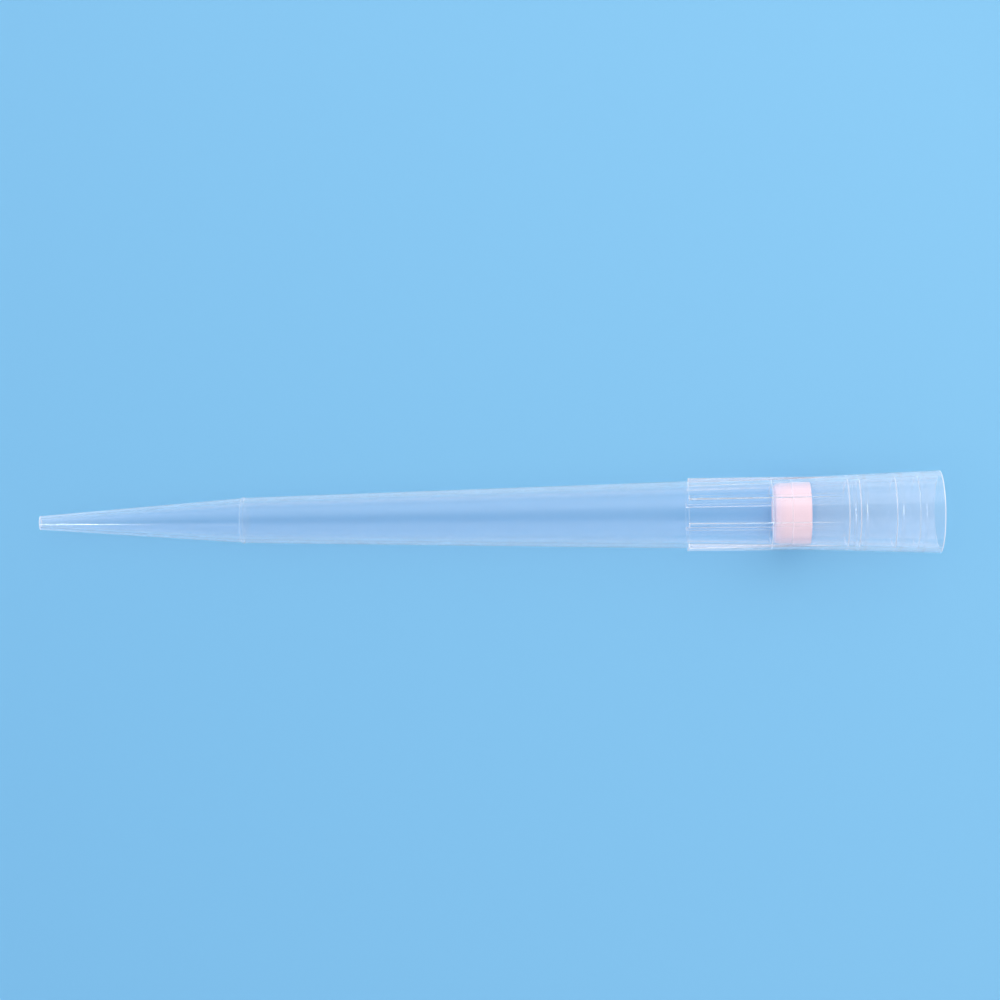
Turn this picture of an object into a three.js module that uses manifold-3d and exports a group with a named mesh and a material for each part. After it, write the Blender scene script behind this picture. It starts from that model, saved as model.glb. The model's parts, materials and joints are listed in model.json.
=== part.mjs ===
// Long filter tip for a one-millilitre hand pipette, lying on its side as it comes to rest.
//
// tip_body     one thin polypropylene moulding: a fine cone at the orifice, a long slender cone,
//              a collar with narrow ribs, and a flared mouth that takes the pipette's nozzle
// filter_plug  a porous plastic plug, pushed down the mouth to just above a ledge in the collar
//
// Millimetres, +Z up. Both pieces are drawn about one axis, from the orifice at height 0 up to
// the mouth, and are then laid down together along +X with the mouth at +X.

import * as THREE from 'three';
import { mergeVertices } from 'three/addons/utils/BufferGeometryUtils.js';
import Module from 'manifold-3d';

const wasm = await Module();
wasm.setup();

// ---- Driving dimensions ---------------------------------------------------------------------

// Outside of the tip, in stretches from the orifice up
const orificeRadius = 0.745;
const fineConeLength = 21.75;
const fineConeHalfAngle = 4.333; // degrees
const breakStep = 0.03; // the slender cone starts this much wider than the fine cone ends
const slenderConeLength = 47.52;
const slenderConeHalfAngle = 1.404; // degrees
const collarStep = 0.036; // the collar starts this much wider than the slender cone ends
const collarHalfAngle = 1.262; // degrees
const mouthLength = 13.2;
const mouthHalfAngle = 2.109; // degrees

// Witness ridge round the tip where the fine cone meets the slender one
const ridgeRise = 0.045;
const ridgeWidth = 0.3;

// Lengthwise ribs of the collar: their blunt lower ends hang the tip in its rack
const ribCount = 8;
const ribWidth = 0.36;
const ribRise = 0.4; // above the collar, at the blunt lower end
const ribSink = 0.06; // how deep the widening mouth has swallowed a rib where it ends
const ribRoot = 0.2; // how deep a rib is rooted in the wall

// Walls, measured square to the axis
const orificeWall = 0.325;
const breakWall = 0.42;
const pocketWall = 0.51; // beside the foot of the filter plug
const mouthWall = 0.4;

// Filter pocket inside the collar, from the blunt ends of the ribs up
const shoulderToSeat = 8.85;
const seatToPocketStep = 2.03;
const pocketStepToMouth = 2.65;
const seatLedge = 0.09; // width of the ledge under the plug
const pocketStep = 0.06; // the pocket widens by this much part way up
const pocketDraft = 0.2; // degrees

// Sealing rings inside the mouth: a square lower side, a land, and a lead-in towards the mouth
const ringHeights = [3.28, 4.48, 8.23, 10.63]; // above the collar
const ringRise = 0.07;
const ringLand = 0.52;
const ringLeadIn = 0.24;
const rimChamfer = 0.08; // inside edge of the mouth

// Filter plug
const filterLength = 3.77;
const filterFootLength = 0.5; // the plug narrows over this length at its foot
const filterFootNarrowing = 0.25; // in radius
const filterEdgeChamfer = 0.08;
const filterWallGap = 0.05; // between the plug and the pocket's wall
const filterSeatGap = 0.3; // how far short of the ledge the plug is left

const segmentsRound = 64;

// ---- Sizes worked out from them -------------------------------------------------------------

// Growth in radius along a cone of a given half angle.
function taper(length, halfAngle) {
  return length * Math.tan(THREE.MathUtils.degToRad(halfAngle));
}

const collarLength = shoulderToSeat + seatToPocketStep + pocketStepToMouth;

// Heights above the orifice
const breakHeight = fineConeLength;
const shoulderHeight = breakHeight + slenderConeLength;
const seatHeight = shoulderHeight + shoulderToSeat;
const pocketStepHeight = seatHeight + seatToPocketStep;
const collarTopHeight = shoulderHeight + collarLength;
const tipLength = collarTopHeight + mouthLength;

// Outside radii
const fineConeTopRadius = orificeRadius + taper(fineConeLength, fineConeHalfAngle);
const breakRadius = fineConeTopRadius + breakStep;
const slenderConeTopRadius = breakRadius + taper(slenderConeLength, slenderConeHalfAngle);
const shoulderRadius = slenderConeTopRadius + collarStep;
const collarTopRadius = shoulderRadius + taper(collarLength, collarHalfAngle);
const mouthRadius = collarTopRadius + taper(mouthLength, mouthHalfAngle);
const ridgeRadius = breakRadius + ridgeRise;
const ribRadius = shoulderRadius + ribRise;

// Bore radii
const orificeBore = orificeRadius - orificeWall;
const breakBore = fineConeTopRadius - breakWall;
const pocketFootBore = shoulderRadius + taper(shoulderToSeat, collarHalfAngle) - pocketWall;
const seatBore = pocketFootBore - seatLedge;
const pocketMiddleBore = pocketFootBore + taper(seatToPocketStep, pocketDraft);
const pocketUpperBore = pocketMiddleBore + pocketStep;
const pocketTopBore = pocketUpperBore + taper(pocketStepToMouth, pocketDraft);
const mouthBore = mouthRadius - mouthWall;

// ---- Helpers --------------------------------------------------------------------------------

// A closed three.js geometry as a solid that can be joined to others.
function toSolid(geometry) {
  const bare = geometry.clone();
  bare.deleteAttribute('normal');
  bare.deleteAttribute('uv');
  const merged = mergeVertices(bare);
  return new wasm.Manifold(new wasm.Mesh({
    numProp: 3,
    vertProperties: new Float32Array(merged.attributes.position.array),
    triVerts: new Uint32Array(merged.index.array),
  }));
}

// The solid as a three.js geometry again.
function toGeometry(solid) {
  const mesh = solid.getMesh();
  const geometry = new THREE.BufferGeometry();
  geometry.setAttribute('position', new THREE.BufferAttribute(mesh.vertProperties, 3));
  geometry.setIndex(new THREE.BufferAttribute(mesh.triVerts, 1));
  geometry.computeVertexNormals();
  return geometry;
}

// A corner of a turned profile: radius and height above the orifice.
function corner(radius, height) {
  return new THREE.Vector2(radius, height);
}

// A profile turned about the axis, with the middle of a facet on the line that the tip rests on.
function turned(profile) {
  return new THREE.LatheGeometry(profile, segmentsRound, Math.PI / segmentsRound);
}

// ---- Tip body -------------------------------------------------------------------------------

function outsideProfile() {
  return [
    corner(orificeRadius, 0),
    corner(fineConeTopRadius, breakHeight),
    corner(ridgeRadius, breakHeight),
    corner(ridgeRadius, breakHeight + ridgeWidth),
    corner(breakRadius + taper(ridgeWidth, slenderConeHalfAngle), breakHeight + ridgeWidth),
    corner(slenderConeTopRadius, shoulderHeight),
    corner(shoulderRadius, shoulderHeight),
    corner(collarTopRadius, collarTopHeight),
    corner(mouthRadius, tipLength),
  ];
}

// Radius of the mouth's bore at a height above the collar, between the sealing rings.
function mouthBoreAt(height) {
  return THREE.MathUtils.mapLinear(height, 0, mouthLength, pocketTopBore, mouthBore);
}

// One sealing ring, from its lead-in at the mouth's side down to its square lower side.
function ringProfile(height) {
  const landTop = height + ringLand;
  const leadInTop = landTop + ringLeadIn;
  return [
    corner(mouthBoreAt(leadInTop), collarTopHeight + leadInTop),
    corner(mouthBoreAt(landTop) - ringRise, collarTopHeight + landTop),
    corner(mouthBoreAt(height) - ringRise, collarTopHeight + height),
    corner(mouthBoreAt(height), collarTopHeight + height),
  ];
}

function boreProfile() {
  const highestRing = mouthLength - rimChamfer - ringLeadIn - ringLand;
  const rings = ringHeights.filter((height) => height < highestRing);
  return [
    corner(mouthBore + rimChamfer, tipLength),
    corner(mouthBoreAt(mouthLength - rimChamfer), tipLength - rimChamfer),
    ...rings.reverse().flatMap(ringProfile),
    corner(pocketTopBore, collarTopHeight),
    corner(pocketUpperBore, pocketStepHeight),
    corner(pocketMiddleBore, pocketStepHeight),
    corner(pocketFootBore, seatHeight),
    corner(seatBore, seatHeight),
    corner(breakBore, breakHeight),
    corner(orificeBore, 0),
  ];
}

// A rib of constant outer radius, rooted in the wall. It runs up until the widening mouth has
// swallowed it, or to the rim.
function ribGeometry() {
  const widening = Math.max(ribRadius - collarTopRadius, 0) + ribSink;
  const swallowedAt = mouthLength * widening / (mouthRadius - collarTopRadius);
  const topHeight = collarTopHeight + Math.min(swallowedAt, mouthLength);
  const ribLength = topHeight - shoulderHeight;
  const side = new THREE.Shape([
    corner(shoulderRadius - ribRoot, shoulderHeight),
    corner(ribRadius, shoulderHeight),
    corner(ribRadius, topHeight),
    corner(shoulderRadius + taper(ribLength, collarHalfAngle) - ribRoot, topHeight),
  ]);
  const rib = new THREE.ExtrudeGeometry(side, { depth: ribWidth, bevelEnabled: false });
  return rib.translate(0, 0, -ribWidth / 2);
}

function tipBodyGeometry() {
  const outline = [...outsideProfile(), ...boreProfile()];
  outline.push(outline[0]);
  let body = toSolid(turned(outline));
  for (let i = 0; i < ribCount; i += 1) {
    const angle = (i + 0.5) * 2 * Math.PI / ribCount;
    body = body.add(toSolid(ribGeometry().rotateY(angle - Math.PI / 2)));
  }
  return toGeometry(body);
}

// ---- Filter plug ----------------------------------------------------------------------------

// The plug keeps an even gap to the pocket's wall, so it widens where the pocket does.
function filterPlugGeometry() {
  const footHeight = seatHeight + filterSeatGap;
  const topHeight = footHeight + filterLength;
  const stepHeight = pocketStepHeight + filterWallGap;
  const lowerRadius = pocketFootBore - filterWallGap;
  const middleRadius = pocketMiddleBore - filterWallGap;
  const upperRadius = middleRadius + pocketStep;
  const profile = [
    corner(0, footHeight),
    corner(lowerRadius - filterFootNarrowing, footHeight),
    corner(lowerRadius, footHeight + filterFootLength),
    corner(middleRadius, stepHeight),
    corner(upperRadius, stepHeight + pocketStep),
    corner(upperRadius, topHeight - filterEdgeChamfer),
    corner(upperRadius - filterEdgeChamfer, topHeight),
    corner(0, topHeight),
  ];
  return turned(profile);
}

// ---- Resting pose ---------------------------------------------------------------------------

// Laid on its side with two ribs astride the lowest line, the tip leans on the witness ridge and
// on whichever reaches lower: the blunt ends of those ribs, or the rim of the mouth.
function restingTilt() {
  const halfPitch = Math.PI / ribCount;
  const facet = Math.cos(Math.PI / segmentsRound);
  const ribReach = ribRadius * Math.cos(halfPitch) + ribWidth / 2 * Math.sin(halfPitch);
  const ribSlope = (ribReach - ridgeRadius * facet) / (shoulderHeight - breakHeight);
  const rimSlope = (mouthRadius - ridgeRadius) * facet / (tipLength - breakHeight);
  return Math.atan(Math.max(ribSlope, rimSlope));
}

// ---- Assembly -------------------------------------------------------------------------------

const polypropylene = new THREE.MeshStandardMaterial({
  name: 'natural polypropylene',
  color: 0xdce9f4,
  roughness: 0.3,
  metalness: 0,
  transparent: true,
  opacity: 0.45,
});

const porousPlastic = new THREE.MeshStandardMaterial({
  name: 'porous polyethylene',
  color: 0xf8e4ea,
  roughness: 0.95,
  metalness: 0,
});

const tipBody = new THREE.Mesh(tipBodyGeometry(), polypropylene);
tipBody.name = 'tip_body';

const filterPlug = new THREE.Mesh(filterPlugGeometry(), porousPlastic);
filterPlug.name = 'filter_plug';

const upright = new THREE.Group();
upright.add(tipBody, filterPlug);
upright.rotation.z = -Math.PI / 2;

const leaning = new THREE.Group();
leaning.add(upright);
leaning.rotation.y = -restingTilt();

// The origin is under the middle of the tip, on the surface that it lies on.
const pipetteTip = new THREE.Group();
pipetteTip.add(leaning);
const extent = new THREE.Box3().setFromObject(pipetteTip, true);
const middle = extent.getCenter(new THREE.Vector3());
leaning.position.set(-middle.x, -middle.y, -extent.min.z);

export default pipetteTip;
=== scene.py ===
"""Looks of a long filter pipette tip lying on its side: a thin translucent polypropylene moulding
with a porous filter plug pressed inside, modelled as smooth surfaces round the CAD axis."""

import json
import math

import bpy
from mathutils import Matrix, Vector
from mathutils.noise import noise as noise_at

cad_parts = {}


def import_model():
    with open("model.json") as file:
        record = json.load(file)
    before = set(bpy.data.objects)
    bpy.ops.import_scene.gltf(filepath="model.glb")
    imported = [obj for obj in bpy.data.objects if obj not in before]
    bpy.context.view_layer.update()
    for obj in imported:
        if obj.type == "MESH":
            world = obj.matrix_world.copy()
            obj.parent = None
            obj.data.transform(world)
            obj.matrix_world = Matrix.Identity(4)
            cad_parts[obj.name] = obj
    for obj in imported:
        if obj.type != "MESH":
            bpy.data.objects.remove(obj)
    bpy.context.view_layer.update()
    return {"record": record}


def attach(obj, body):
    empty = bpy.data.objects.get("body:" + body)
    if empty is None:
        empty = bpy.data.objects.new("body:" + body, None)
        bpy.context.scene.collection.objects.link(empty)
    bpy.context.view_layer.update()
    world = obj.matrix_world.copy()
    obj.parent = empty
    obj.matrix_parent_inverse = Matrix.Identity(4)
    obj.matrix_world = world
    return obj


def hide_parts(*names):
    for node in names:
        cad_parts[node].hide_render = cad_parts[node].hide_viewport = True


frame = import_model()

MM = 0.001

# ---- The moulding's sizes, in millimetres, as heights above the orifice and radii -----------

TIP_LENGTH = 96.0
ORIFICE_RADIUS = 0.745
BREAK_HEIGHT = 21.75
FINE_CONE_TOP = 2.393
BREAK_RADIUS = 2.423
RIDGE_RISE = 0.045
RIDGE_WIDTH = 0.3
SHOULDER_HEIGHT = 69.27
SLENDER_TOP = 3.588
SHOULDER_RADIUS = 3.624
COLLAR_TOP_HEIGHT = 82.8
COLLAR_TOP_RADIUS = 3.922
MOUTH_RADIUS = 4.408

ORIFICE_BORE = 0.42
BREAK_BORE = 1.973
SEAT_HEIGHT = 78.12
SEAT_BORE = 3.219
POCKET_FOOT_BORE = 3.309
POCKET_STEP_HEIGHT = 80.15
POCKET_MIDDLE_BORE = 3.316
POCKET_UPPER_BORE = 3.376
POCKET_TOP_BORE = 3.385
MOUTH_BORE = 4.008

RIB_COUNT = 8
RIB_HALF_WIDTH = 0.18
RIB_RADIUS = 4.024
RIB_EDGE = 0.05  # how far a rib's blunt foot is rounded
RIB_ROUNDNESS = 0.4  # a power that shapes a rib's section: 1 is an ellipse, near 0 a rectangle

RINGS = (  # height of the lower side, how white the corners are
    (86.08, 0.5),
    (87.28, 0.5),
    (91.03, 0.4),
    (93.43, 0.2),
)
RING_RISE = 0.07
RING_LAND = 0.52
RING_CHAMFER = 0.24
RING_FOOT = 0.06  # the height over which the lower side slopes

FILTER_FOOT = 78.42
FILTER_LENGTH = 3.77
FILTER_GAP = 0.05
FILTER_FOOT_SLOPE = 0.5
FILTER_STEP_SLOPE = 0.06
FILTER_EDGE_ROUND = 0.12
FILTER_PINHOLE = 0.02  # left open in the middle of both ends
GRAIN_HEIGHT = 0.012
GRAIN_SIZE = 0.12
GRAIN_STEP = 0.06
GRAIN_COLUMNS = 360

EDGE_ROUND = 0.04
ROUND_STEPS = 4
ROUND_REACH = 0.45  # the share of a short stretch that the curve at either end may take
ARC_COLUMNS = 20
RIB_COLUMNS = 15

# ---- How white the polypropylene's corners are, from 0 for clear to 1 ----------------------

# Corner whiteness makes the wall milkier there, and also stands in for the highlights that the corners
# catch: partly a painted highlight.
SHARP_TURN = math.radians(40.0)  # a corner that turns less is less white
STEP_WHITENESS = 0.2
SEAT_WHITENESS = 0.7
RIB_FOOT_WHITENESS = 0.9
RIB_SIDE_WHITENESS = 0.32
RIB_SIDE_START = 0.8  # share of the half width past which a rib's side begins


# ---- Placing -------------------------------------------------------------------------------

def tip_axes():
    """Orifice centre, the direction along the tip, and the direction square to it that points up."""
    rim = next(m for m in frame["record"]["mounts"] if m["name"] == "mouth_rim")
    along = Vector(rim["axis"]).normalized()
    mouth = Vector((rim["pos_m"][0], 0.0, rim["pos_m"][2]))
    up = Vector((-along.z, 0.0, along.x))
    return mouth - along * TIP_LENGTH * MM, along, up


orifice, along, up = tip_axes()
across = Vector((0.0, 1.0, 0.0))


def place(height, radius, angle):
    """A point of the tip in the row frame. Millimetres; the angle is from the top towards +Y."""
    out = up * math.cos(angle) + across * math.sin(angle)
    return orifice + (along * height + out * radius) * MM


# ---- Profiles ------------------------------------------------------------------------------

def rounded(corners, size=EDGE_ROUND):
    """The open profile as (height, radius, whiteness), with each inner corner replaced by a small
    curve. A corner is as white as it is sharp, up to 1, times its own third value where it has
    one. A point on each side of a curve, where there is room, keeps the shading of the straight
    stretches true."""
    points = [(*corners[0][:2], 1.0)]
    for before, here, after in zip(corners, corners[1:], corners[2:]):
        corner = Vector(here[:2])
        back, onward = Vector(before[:2]) - corner, Vector(after[:2]) - corner
        room_back, room_onward = back.length, onward.length
        back.normalize()
        onward.normalize()
        whiteness = min(math.pi - back.angle(onward), SHARP_TURN) / SHARP_TURN
        if len(here) > 2:
            whiteness *= here[2]
        start = corner + back * min(size, room_back * ROUND_REACH)
        end = corner + onward * min(size, room_onward * ROUND_REACH)
        if room_back > 4 * size:
            points.append((*(start + back * size), 0.0))
        for i in range(ROUND_STEPS + 1):
            share = i / ROUND_STEPS
            on_curve = start.lerp(corner, share).lerp(corner.lerp(end, share), share)
            points.append((*on_curve, whiteness))
        if room_onward > 4 * size:
            points.append((*(end + onward * size), 0.0))
    points.append((*corners[-1][:2], 1.0))
    return points


def lower_outside():
    """The profile from the orifice's rim up to the foot of the collar."""
    rim_middle = (ORIFICE_RADIUS + ORIFICE_BORE) / 2
    ridge_top = BREAK_HEIGHT + RIDGE_WIDTH
    return rounded([
        (0.0, rim_middle),
        (0.0, ORIFICE_RADIUS),
        (BREAK_HEIGHT, FINE_CONE_TOP, STEP_WHITENESS),
        (BREAK_HEIGHT, BREAK_RADIUS + RIDGE_RISE, STEP_WHITENESS),
        (ridge_top, BREAK_RADIUS + RIDGE_RISE, STEP_WHITENESS),
        (ridge_top, BREAK_RADIUS, STEP_WHITENESS),
        (SHOULDER_HEIGHT, SLENDER_TOP, STEP_WHITENESS),
        (SHOULDER_HEIGHT, SHOULDER_RADIUS),
    ])


def upper_outside():
    """The profile from the foot of the collar to the middle of the mouth's rim."""
    swallowed = (RIB_RADIUS - COLLAR_TOP_RADIUS) / (MOUTH_RADIUS - COLLAR_TOP_RADIUS)
    rib_top = COLLAR_TOP_HEIGHT + swallowed * (TIP_LENGTH - COLLAR_TOP_HEIGHT)
    foot = [(SHOULDER_HEIGHT + RIB_EDGE, SHOULDER_RADIUS, STEP_WHITENESS),
            (SHOULDER_HEIGHT + 2 * RIB_EDGE, SHOULDER_RADIUS, 0.0)]
    flare = [(COLLAR_TOP_HEIGHT, COLLAR_TOP_RADIUS, 0.0), (rib_top, RIB_RADIUS, 0.0)]
    rim = rounded([
        (rib_top + RIB_EDGE, RIB_RADIUS),
        (TIP_LENGTH, MOUTH_RADIUS),
        (TIP_LENGTH, (MOUTH_RADIUS + MOUTH_BORE) / 2),
    ])
    return foot + flare + rim[1:]


def mouth_bore_at(height):
    """The bore's radius between the collar's top and the mouth, without the rings."""
    share = (height - COLLAR_TOP_HEIGHT) / (TIP_LENGTH - COLLAR_TOP_HEIGHT)
    return POCKET_TOP_BORE + share * (MOUTH_BORE - POCKET_TOP_BORE)


def bore():
    """The profile from the middle of the mouth's rim down the inside to the orifice."""
    corners = [(TIP_LENGTH, (MOUTH_RADIUS + MOUTH_BORE) / 2), (TIP_LENGTH, MOUTH_BORE)]
    for height, whiteness in reversed(RINGS):
        land, end = height + RING_LAND, height + RING_LAND + RING_CHAMFER
        corners.append((end, mouth_bore_at(end), whiteness))
        corners.append((land, mouth_bore_at(land) - RING_RISE, whiteness))
        corners.append((height + RING_FOOT / 2, mouth_bore_at(height) - RING_RISE, whiteness))
        corners.append((height - RING_FOOT / 2, mouth_bore_at(height), whiteness))
    corners += [
        (COLLAR_TOP_HEIGHT, POCKET_TOP_BORE),
        (POCKET_STEP_HEIGHT, POCKET_UPPER_BORE, STEP_WHITENESS),
        (POCKET_STEP_HEIGHT, POCKET_MIDDLE_BORE, STEP_WHITENESS),
        (SEAT_HEIGHT, POCKET_FOOT_BORE, SEAT_WHITENESS),
        (SEAT_HEIGHT, SEAT_BORE, SEAT_WHITENESS),
        (BREAK_HEIGHT, BREAK_BORE),
        (0.0, ORIFICE_BORE),
        (0.0, (ORIFICE_RADIUS + ORIFICE_BORE) / 2),
    ]
    return rounded(corners)


def body_rows():
    """Rows of (height, radius, crown radius of the ribs, whiteness) round the wall's section."""
    rows = [(height, radius, radius, whiteness) for height, radius, whiteness in lower_outside()]
    rows.append((SHOULDER_HEIGHT, SHOULDER_RADIUS, RIB_RADIUS - RIB_EDGE, STEP_WHITENESS))
    for i in range(1, ROUND_STEPS):
        turn = math.pi / 2 * i / ROUND_STEPS
        height = SHOULDER_HEIGHT + RIB_EDGE * (1 - math.cos(turn))
        crown = RIB_RADIUS - RIB_EDGE * (1 - math.sin(turn))
        rows.append((height, SHOULDER_RADIUS, crown, STEP_WHITENESS))
    on_rim = TIP_LENGTH - EDGE_ROUND
    for height, radius, whiteness in upper_outside():
        crown = max(radius, RIB_RADIUS) if height < on_rim else radius
        rows.append((height, radius, crown, whiteness))
    rows += [(height, radius, radius, whiteness) for height, radius, whiteness in bore()[1:-1]]
    return rows


# ---- Meshes --------------------------------------------------------------------------------

def body_columns():
    """Columns round the tip: (rib's angle, place across it, how far up its side), and between
    ribs (rib's angle, None, share of the way to the next rib)."""
    pitch = 2 * math.pi / RIB_COUNT
    columns = []
    for rib in range(RIB_COUNT):
        angle = (rib + 0.5) * pitch
        for i in range(RIB_COLUMNS):
            turn = math.pi * (1 - i / (RIB_COLUMNS - 1))
            offset = math.copysign(abs(math.cos(turn)) ** RIB_ROUNDNESS, math.cos(turn))
            columns.append((angle, RIB_HALF_WIDTH * offset, math.sin(turn) ** RIB_ROUNDNESS))
        columns += [(angle, None, (i + 1) / (ARC_COLUMNS + 1)) for i in range(ARC_COLUMNS)]
    return columns


def column_point(column, height, radius, crown):
    """A column's point on a row. Below the ribs' foot the columns are straight lines."""
    angle, offset, share = column
    if offset is None:
        edge = math.asin(RIB_HALF_WIDTH / max(radius, SHOULDER_RADIUS))
        gap = 2 * math.pi / RIB_COUNT - 2 * edge
        return place(height, radius, angle + edge + share * gap)
    reach = radius + share * (crown - radius)
    return place(height, reach, angle + math.asin(offset / max(reach, SHOULDER_RADIUS)))


def rib_whiteness(column, height, radius, crown):
    """How white a rib is: at its blunt foot, and on its sides where it stands proud of the wall."""
    offset = column[1]
    if offset is None or crown <= radius:
        return 0.0
    foot_top = SHOULDER_HEIGHT + 1.5 * RIB_EDGE
    if height < foot_top:
        return RIB_FOOT_WHITENESS
    if abs(offset) > RIB_SIDE_START * RIB_HALF_WIDTH:
        return RIB_SIDE_WHITENESS * min((crown - radius) / RIB_EDGE, 1.0)
    return 0.0


def whiteness_at(column, height, radius, crown, whiteness):
    """How white a point of a row is. From the seat up, corners fade on the lower half, towards
    the side that the tip lies on, so their painted highlight stays on the upper half."""
    angle, offset, share = column
    if offset is None:
        angle += share * 2 * math.pi / RIB_COUNT
    painted_highlight_fade_from = SEAT_HEIGHT - 2 * EDGE_ROUND
    # Painted highlight: the upper half of each corner stays whiter than the lower half.
    if height > painted_highlight_fade_from:
        whiteness *= min(1.0 + math.cos(angle), 1.0)
    return max(whiteness, rib_whiteness(column, height, radius, crown))


def grid_mesh(name, rings, closed):
    """A mesh from rings of points; closed joins the last ring to the first."""
    count = len(rings[0])
    vertices = [point for ring in rings for point in ring]
    faces = []
    for ring in range(len(rings) if closed else len(rings) - 1):
        low, high = ring * count, (ring + 1) % len(rings) * count
        for here in range(count):
            beside = (here + 1) % count
            faces.append((low + here, high + here, high + beside, low + beside))
    mesh = bpy.data.meshes.new(name)
    mesh.from_pydata(vertices, [], faces)
    return mesh


def add_piece(mesh, material, smooth_below):
    """Puts a mesh in the scene, smooth except across edges sharper than an angle in degrees."""
    mesh.validate()
    mesh.shade_smooth()
    mesh.set_sharp_from_angle(angle=math.radians(smooth_below))
    mesh.materials.append(material)
    piece = bpy.data.objects.new(mesh.name, mesh)
    bpy.context.scene.collection.objects.link(piece)
    return piece


def tip_body():
    """The whole moulding as one closed wall, with its whiteness, partly a painted highlight, as a point
    attribute.
    """
    columns = body_columns()
    rows = body_rows()
    rings = [[column_point(column, *row[:3]) for column in columns] for row in rows]
    mesh = grid_mesh("tip_wall", rings, closed=True)
    whiteness = mesh.attributes.new("edge", "FLOAT", "POINT")
    whiteness.data.foreach_set("value", [
        whiteness_at(column, *row) for row in rows for column in columns])
    return add_piece(mesh, polypropylene(), smooth_below=35)


def evenly_spaced(profile, step):
    """The points of a profile with more put in where two are further apart than a step."""
    points = [profile[0][:2]]
    for here, after in zip(profile, profile[1:]):
        start, end = Vector(here[:2]), Vector(after[:2])
        parts = max(1, math.ceil((end - start).length / step))
        points += [tuple(start.lerp(end, (i + 1) / parts)) for i in range(parts)]
    return points


def filter_plug():
    """The plug, with a fine grain raised on its surface."""
    top = FILTER_FOOT + FILTER_LENGTH
    middle = POCKET_MIDDLE_BORE - FILTER_GAP
    upper = POCKET_UPPER_BORE - FILTER_GAP
    step = POCKET_STEP_HEIGHT + FILTER_GAP
    profile = rounded([
        (FILTER_FOOT, FILTER_PINHOLE),
        (FILTER_FOOT, middle - FILTER_FOOT_SLOPE / 2),
        (FILTER_FOOT + FILTER_FOOT_SLOPE, middle),
        (step, middle),
        (step + FILTER_STEP_SLOPE, upper),
        (top, upper),
        (top, FILTER_PINHOLE),
    ], size=FILTER_EDGE_ROUND)
    rings = []
    for height, radius in evenly_spaced(profile, GRAIN_STEP):
        ring = []
        for i in range(GRAIN_COLUMNS):
            angle = 2 * math.pi * i / GRAIN_COLUMNS
            point = place(height, radius, angle)
            lift = GRAIN_HEIGHT * noise_at(point / (GRAIN_SIZE * MM))
            ring.append(place(height, radius + lift, angle))
        rings.append(ring)
    mesh = grid_mesh("filter_grain", rings, closed=False)
    return add_piece(mesh, porous_plastic(), smooth_below=50)


# ---- Materials -----------------------------------------------------------------------------

ROUGHNESS_ALONG_TIP = (  # height above the orifice, roughness
    (0.0, 0.04),
    (14.0, 0.06),
    (22.0, 0.18),
    (66.0, 0.18),
    (SHOULDER_HEIGHT, 0.05),
    (SEAT_HEIGHT, 0.04),
    (COLLAR_TOP_HEIGHT, 0.04),
    (TIP_LENGTH, 0.05),
)
ROUGHNESS_PATCHES = 0.02  # how much patches in the surface add to it
HAZE_ALONG_TIP = (  # height above the orifice, milkiness
    (0.0, 0.06),
    (8.0, 0.02),
    (20.0, 0.0),
    (SEAT_HEIGHT, 0.0),
    (FILTER_FOOT + FILTER_LENGTH, 0.0),
    (COLLAR_TOP_HEIGHT, 0.055),
    (TIP_LENGTH, 0.07),
)
MILK_BY_SLANT = (  # 0 where the wall is seen square on and 1 where it is seen on edge, milkiness
    (0.0, 0.0),
    (0.2, 0.0),
    (0.35, 0.09),
    (0.5, 0.21),
    (0.7, 0.27),
    (0.85, 0.24),
    (1.0, 0.16),
)
CORNER_MILK_AND_PAINTED_HIGHLIGHT = 0.55  # the milkiness of the whitest corners, partly a painted highlight
WALL_TINT = (0.945, 0.952, 1.0, 1.0)
# The corners' pinkish tint is the colour of their painted highlight.
CORNER_PAINTED_HIGHLIGHT_TINT = (1.0, 0.94, 1.0, 1.0)
WALL_PASSES_FLOOR = (0.995, 0.975, 0.98, 1.0)
WALL_PASSES_LAMPS = (0.84, 0.92, 0.965, 1.0)
PLUG_PASSES_LAMPS = (0.6, 0.55, 0.57, 1.0)
PLUG_PAINTED_SHADE_ALONG_TIP = (  # height above the orifice, 0 for the colour in painted shade to 1 for the lit one
    (0.0, 0.2),
    (FILTER_FOOT, 0.2),
    (FILTER_FOOT + 0.9, 0.8),
    (FILTER_FOOT + FILTER_LENGTH, 0.9),
    (TIP_LENGTH, 0.9),
)
PLUG_GRAIN = 0.2  # how much the grain adds to it
# Painted shade: the plug's colour goes from a shaded copy at its foot to a lit copy above it.
PLUG_IN_PAINTED_SHADE = (0.76, 0.62, 0.71, 1.0)
PLUG_IN_PAINTED_LIGHT = (1.0, 0.72, 0.74, 1.0)
# The surface's colour holds painted light: paler towards +X and +Y, darker towards -X and -Y.
SURFACE_IN_PAINTED_SHADE = (0.187, 0.449, 0.702, 1.0)
SURFACE_IN_PAINTED_LIGHT = (0.24, 0.534, 0.788, 1.0)
SURFACE_PAINTED_LIGHT_FADE = 0.1  # metres from the middle to either end of the fade


def new_material(name):
    """An empty material, with its nodes and links."""
    material = bpy.data.materials.new(name)
    material.use_nodes = True
    nodes = material.node_tree.nodes
    nodes.clear()
    return material, nodes, material.node_tree.links


def finished(material, nodes, links, shader):
    """The material with a shader as its surface."""
    output = nodes.new("ShaderNodeOutputMaterial")
    links.new(shader, output.inputs["Surface"])
    return material


def calculated(nodes, links, operation, *values):
    """The result of a maths operation. A value is a number or the output of a node."""
    node = nodes.new("ShaderNodeMath")
    node.operation = operation
    for value, socket in zip(values, node.inputs):
        if isinstance(value, float):
            socket.default_value = value
        else:
            links.new(value, socket)
    return node.outputs["Value"]


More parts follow.
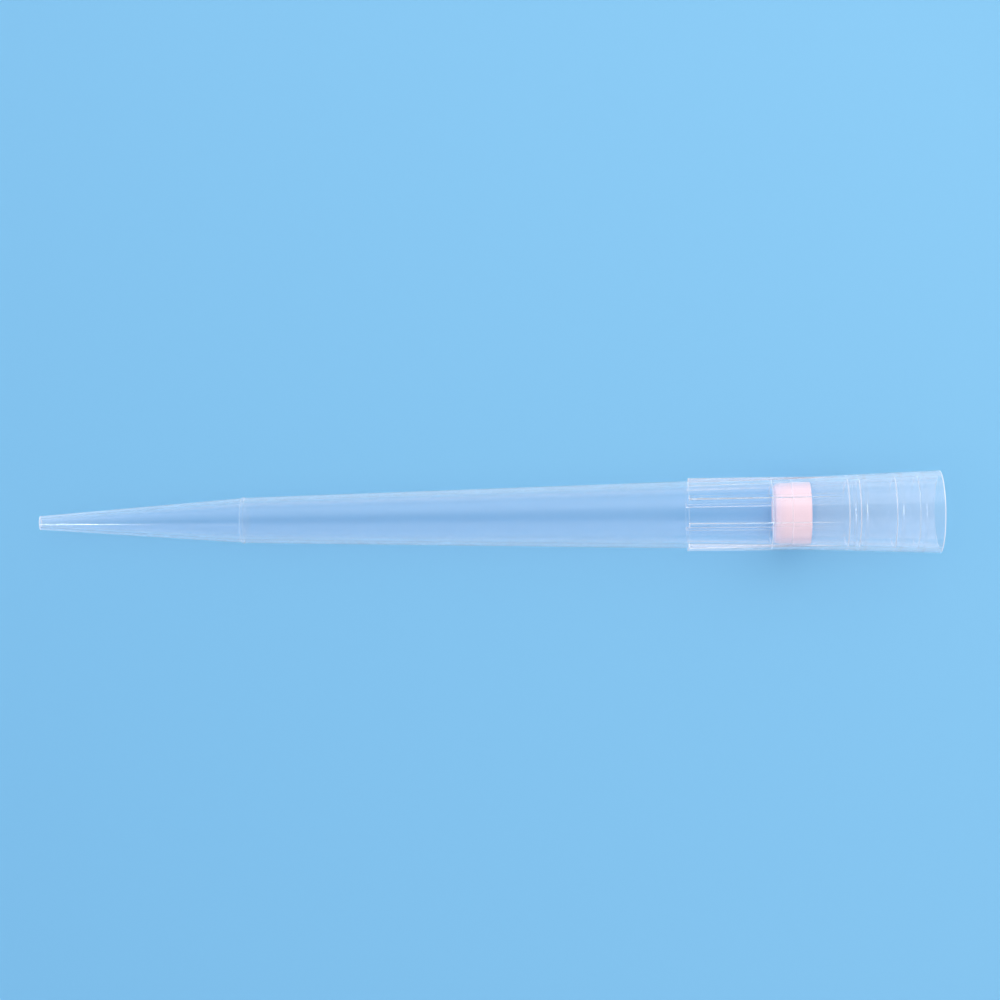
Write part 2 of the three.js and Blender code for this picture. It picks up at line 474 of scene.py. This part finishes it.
def mapped(nodes, links, value, source, target, interpolation="LINEAR"):
    """A value carried from one range to another and kept inside it."""
    node = nodes.new("ShaderNodeMapRange")
    node.interpolation_type = interpolation
    for name, number in zip(("From Min", "From Max", "To Min", "To Max"), (*source, *target)):
        node.inputs[name].default_value = number
    links.new(value, node.inputs["Value"])
    return node.outputs["Result"]


def shaped(nodes, links, value, stops, handle):
    """The value sent through a curve. Stops are (from, to), both from 0 to 1."""
    node = nodes.new("ShaderNodeFloatCurve")
    curve = node.mapping.curves[0]
    while len(curve.points) < len(stops):
        curve.points.new(0.5, 0.5)
    for point, stop in zip(curve.points, stops):
        point.location = stop
        point.handle_type = handle
    node.mapping.update()
    links.new(value, node.inputs["Value"])
    return node.outputs["Value"]


def along_tip(nodes, links, stops):
    """A value that changes along the tip: stops are (height above the orifice in mm, value)."""
    position = nodes.new("ShaderNodeTexCoord")
    split = nodes.new("ShaderNodeSeparateXYZ")
    links.new(position.outputs["Object"], split.inputs["Vector"])
    ends = place(0.0, 0.0, 0.0).x, place(TIP_LENGTH, 0.0, 0.0).x
    share = mapped(nodes, links, split.outputs["X"], ends, (0.0, 1.0))
    shares = [(height / TIP_LENGTH, value) for height, value in stops]
    return shaped(nodes, links, share, shares, "VECTOR")


def noise(nodes, links, scale, detail):
    """Noise in object space; scale is in cells per metre."""
    position = nodes.new("ShaderNodeTexCoord")
    texture = nodes.new("ShaderNodeTexNoise")
    texture.inputs["Scale"].default_value = scale
    texture.inputs["Detail"].default_value = detail
    links.new(position.outputs["Object"], texture.inputs["Vector"])
    return texture.outputs["Fac"]


def bumped(nodes, links, height, depth, shader):
    """Tilts a shader's surface by a height value; depth in metres is what a value of 1 raises."""
    bump = nodes.new("ShaderNodeBump")
    bump.inputs["Strength"].default_value = 1.0
    bump.inputs["Distance"].default_value = depth
    links.new(height, bump.inputs["Height"])
    links.new(bump.outputs["Normal"], shader.inputs["Normal"])


def tinted(nodes, links, factor, first, second, socket):
    """Feeds a socket a colour that goes from first to second as a factor goes from 0 to 1."""
    ramp = nodes.new("ShaderNodeValToRGB")
    ramp.color_ramp.elements[0].color = first
    ramp.color_ramp.elements[1].color = second
    links.new(factor, ramp.inputs["Fac"])
    links.new(ramp.outputs["Color"], socket)


def passed_by(nodes, links, shader, ray, tint):
    """The shader, with rays of one kind going straight through it and taking on a tint."""
    path = nodes.new("ShaderNodeLightPath")
    passing = nodes.new("ShaderNodeBsdfTransparent")
    passing.inputs["Color"].default_value = tint
    mix = nodes.new("ShaderNodeMixShader")
    links.new(path.outputs[ray], mix.inputs["Fac"])
    links.new(shader, mix.inputs[1])
    links.new(passing.outputs["BSDF"], mix.inputs[2])
    return mix.outputs["Shader"]


def polypropylene():
    """Thin natural polypropylene: rough glass that rays from lamps and off the floor pass
    straight through, clearest round the collar and milkier where the wall is seen on edge."""
    material, nodes, links = new_material("natural_polypropylene")
    plastic = nodes.new("ShaderNodeBsdfPrincipled")
    plastic.inputs["IOR"].default_value = 1.49
    patches = noise(nodes, links, scale=900.0, detail=3.0)
    base = along_tip(nodes, links, ROUGHNESS_ALONG_TIP)
    roughness = calculated(nodes, links, "MULTIPLY_ADD", patches, ROUGHNESS_PATCHES, base)
    links.new(roughness, plastic.inputs["Roughness"])
    waves = noise(nodes, links, scale=500.0, detail=0.0)
    bumped(nodes, links, waves, 0.000002, plastic)

    slant = nodes.new("ShaderNodeLayerWeight")
    slant.inputs["Blend"].default_value = 0.5
    milk = shaped(nodes, links, slant.outputs["Facing"], MILK_BY_SLANT, "AUTO")
    haze = along_tip(nodes, links, HAZE_ALONG_TIP)
    # The "edge" attribute makes corners milkier and pinker: partly a painted highlight.
    corner = nodes.new("ShaderNodeAttribute")
    corner.attribute_name = "edge"
    white = calculated(nodes, links, "MULTIPLY_ADD", corner.outputs["Fac"], CORNER_MILK_AND_PAINTED_HIGHLIGHT,
                       calculated(nodes, links, "ADD", milk, haze))
    clear = calculated(nodes, links, "SUBTRACT", 1.0, white)
    links.new(clear, plastic.inputs["Transmission Weight"])
    tinted(nodes, links, corner.outputs["Fac"], WALL_TINT, CORNER_PAINTED_HIGHLIGHT_TINT, plastic.inputs["Base Color"])

    shader = passed_by(nodes, links, plastic.outputs["BSDF"], "Is Diffuse Ray", WALL_PASSES_FLOOR)
    shader = passed_by(nodes, links, shader, "Is Shadow Ray", WALL_PASSES_LAMPS)
    return finished(material, nodes, links, shader)


def porous_plastic():
    """Sintered plastic grains: pinkish white, dull, painted a little bluer and darker towards the foot
    as shade from the seat. Part of the lamps' light goes through."""
    material, nodes, links = new_material("porous_plastic")
    plastic = nodes.new("ShaderNodeBsdfPrincipled")
    grain = noise(nodes, links, scale=9000.0, detail=2.0)
    # Painted shade along the tip, darker and bluer at the plug's foot.
    lit = along_tip(nodes, links, PLUG_PAINTED_SHADE_ALONG_TIP)
    shade = calculated(nodes, links, "MULTIPLY_ADD", grain, PLUG_GRAIN, lit)
    tinted(nodes, links, shade, PLUG_IN_PAINTED_SHADE, PLUG_IN_PAINTED_LIGHT, plastic.inputs["Base Color"])
    roughness = mapped(nodes, links, grain, (0.0, 1.0), (0.8, 1.0))
    links.new(roughness, plastic.inputs["Roughness"])
    bumped(nodes, links, grain, 0.00002, plastic)
    shader = passed_by(nodes, links, plastic.outputs["BSDF"], "Is Shadow Ray", PLUG_PASSES_LAMPS)
    return finished(material, nodes, links, shader)


def surface_blue():
    """Smooth blue sheet, painted a touch paler towards +X and +Y, as if lamps lit that side more."""
    material, nodes, links = new_material("pale_blue_surface")
    sheet = nodes.new("ShaderNodeBsdfDiffuse")
    position = nodes.new("ShaderNodeTexCoord")
    towards_painted_light = nodes.new("ShaderNodeVectorMath")
    towards_painted_light.operation = "DOT_PRODUCT"
    towards_painted_light.inputs[1].default_value = (1.0, 1.0, 0.0)
    links.new(position.outputs["Object"], towards_painted_light.inputs[0])
    share = mapped(nodes, links, towards_painted_light.outputs["Value"], (-SURFACE_PAINTED_LIGHT_FADE, SURFACE_PAINTED_LIGHT_FADE), (0.0, 1.0))
    tinted(nodes, links, share, SURFACE_IN_PAINTED_SHADE, SURFACE_IN_PAINTED_LIGHT, sheet.inputs["Color"])
    return finished(material, nodes, links, sheet.outputs["BSDF"])


# ---- Stage, lights and camera --------------------------------------------------------------

TENT_COLOUR = (0.93, 0.965, 1.0, 1.0)
TENT_FOOT = 1.32  # brightness at the horizon
TENT_TOP = 0.73  # brightness overhead
TENT_SIDE = 0.2  # how much brighter the +Y side is than the middle
TENT_OVALS = (  # directions as X and Y: the middle, half widths, and times how bright
    ((-0.165, -0.14), (0.185, 0.3), 0.42),
    ((-0.79, -0.02), (0.04, 0.4), 9.0),
    ((0.0, 0.58), (0.7, 0.22), 1.4),
)
OVAL_EDGE = (0.75, 1.25)  # where an oval's soft edge starts and ends, as shares of its reach
ANY_HEIGHT = 100.0  # so large a reach that a direction's Z does not count


def floor():
    """The blue surface, out to a metre and a half on each side."""
    half = 1.5
    corners = [(-half, -half, 0.0), (half, -half, 0.0), (half, half, 0.0), (-half, half, 0.0)]
    mesh = bpy.data.meshes.new("surface")
    mesh.from_pydata(corners, [], [(0, 1, 2, 3)])
    mesh.materials.append(surface_blue())
    plane = bpy.data.objects.new("surface", mesh)
    bpy.context.scene.collection.objects.link(plane)


def softbox(name, centre, width, height, power):
    """A rectangular area lamp aimed at the origin."""
    data = bpy.data.lights.new(name, "AREA")
    data.shape = "RECTANGLE"
    data.size = width
    data.size_y = height
    data.energy = power
    lamp = bpy.data.objects.new(name, data)
    lamp.location = centre
    lamp.rotation_euler = (-Vector(centre)).to_track_quat("-Z", "Y").to_euler()
    bpy.context.scene.collection.objects.link(lamp)


def oval(nodes, links, direction, middle, reach, level):
    """A level inside an oval of directions, given by its X and Y middle and half widths, and 1
    outside it, with a soft edge."""
    aside = nodes.new("ShaderNodeVectorMath")
    aside.operation = "SUBTRACT"
    aside.inputs[1].default_value = (*middle, 0.0)
    flat = nodes.new("ShaderNodeVectorMath")
    flat.operation = "DIVIDE"
    flat.inputs[1].default_value = (*reach, ANY_HEIGHT)
    from_middle = nodes.new("ShaderNodeVectorMath")
    from_middle.operation = "LENGTH"
    links.new(direction, aside.inputs[0])
    links.new(aside.outputs["Vector"], flat.inputs[0])
    links.new(flat.outputs["Vector"], from_middle.inputs[0])
    return mapped(nodes, links, from_middle.outputs["Value"], OVAL_EDGE, (level, 1.0), "SMOOTHSTEP")


def world():
    """A white tent, brighter towards its foot and on the +Y side, with a dark oval for the
    camera to look through, a bright strip across its -X side and a pale panel on its +Y side."""
    scene_world = bpy.data.worlds.new("studio")
    scene_world.use_nodes = True
    nodes = scene_world.node_tree.nodes
    links = scene_world.node_tree.links
    background = nodes["Background"]
    background.inputs["Color"].default_value = TENT_COLOUR
    direction = nodes.new("ShaderNodeTexCoord").outputs["Generated"]
    split = nodes.new("ShaderNodeSeparateXYZ")
    links.new(direction, split.inputs["Vector"])
    strength = mapped(nodes, links, split.outputs["Z"], (0.0, 1.0), (TENT_FOOT, TENT_TOP))
    strength = calculated(nodes, links, "MULTIPLY_ADD", split.outputs["Y"], TENT_SIDE, strength)
    for middle, reach, level in TENT_OVALS:
        times = oval(nodes, links, direction, middle, reach, level)
        strength = calculated(nodes, links, "MULTIPLY", strength, times)
    links.new(strength, background.inputs["Strength"])
    bpy.context.scene.world = scene_world


def camera():
    """Looks almost straight down, from a little on the -Y side."""
    elevation = math.radians(84.0)
    roll = math.radians(-0.572)
    distance = 0.26
    target = Vector((0.00127, 0.00218, 0.0))
    data = bpy.data.cameras.new("camera")
    data.sensor_width = 36.0
    data.lens = 86.6
    data.clip_start = 0.01
    eye = bpy.data.objects.new("camera", data)
    back = Vector((0.0, -math.cos(elevation), math.sin(elevation)))
    eye.location = target + back * distance
    turn = (-back).to_track_quat("-Z", "Y").to_matrix().to_4x4()
    eye.rotation_euler = (turn @ Matrix.Rotation(roll, 4, "Z")).to_euler()
    bpy.context.scene.collection.objects.link(eye)
    bpy.context.scene.camera = eye


camera()
floor()
world()
softbox("key", centre=(0.14, 0.21, 0.3), width=0.32, height=0.3, power=0.12)
softbox("spot", centre=(-0.293, -0.31, 0.55), width=0.04, height=0.06, power=0.2)
bpy.context.scene.view_settings.view_transform = "Standard"
bpy.context.scene.cycles.caustics_refractive = False
bpy.context.scene.cycles.caustics_reflective = False
bpy.context.scene.cycles.max_bounces = 32
bpy.context.scene.cycles.transmission_bounces = 32

body = tip_body()
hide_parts("tip_body")
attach(body, "root")

plug = filter_plug()
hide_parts("filter_plug")
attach(plug, "root")
